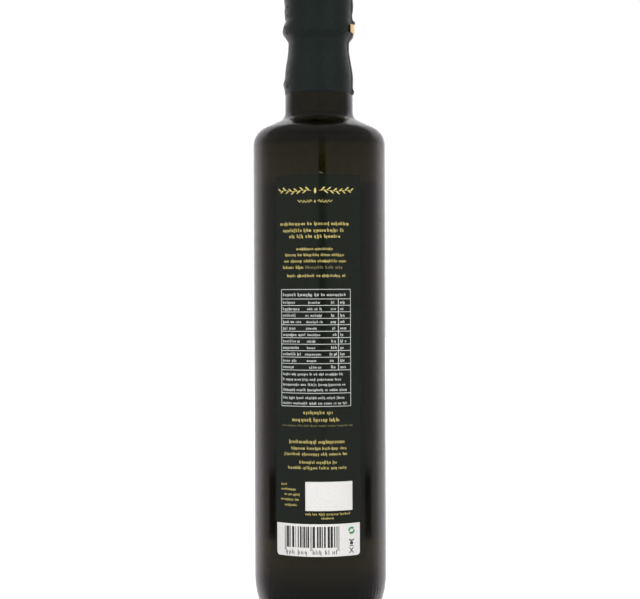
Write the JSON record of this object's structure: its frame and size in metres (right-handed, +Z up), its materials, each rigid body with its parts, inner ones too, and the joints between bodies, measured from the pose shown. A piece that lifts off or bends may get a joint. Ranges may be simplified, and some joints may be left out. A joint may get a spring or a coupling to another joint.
{
  "type": "olive oil bottle",
  "caption": "Tall slim round bottle of dark olive glass, filled with oil, closed under a dark green shrink capsule, with a label on its front and its back.",
  "frame": {"origin": "middle of the foot, on the surface that the bottle stands on", "axes": "+Z up the bottle's axis, -Y towards the side with the back label that the picture shows, +X towards the capsule's seam"},
  "size_m": [0.062, 0.063, 0.303],
  "materials": {
    "glass": "clear dark olive glass, glossy",
    "oil": "liquid, clear golden green",
    "cap": "gold lacquer, satin",
    "capsule": "dark green shrink film, satin",
    "tear_tab": "gold tape",
    "back_label": "printed film, satin",
    "front_label": "printed film, satin"
  },
  "bodies": {
    "root": {"glass_bottle": "glass", "oil": "oil", "cap": "cap", "capsule": "capsule", "tear_tab": "tear_tab", "back_label": "back_label", "front_label": "front_label"}
  },
  "joints": []
}
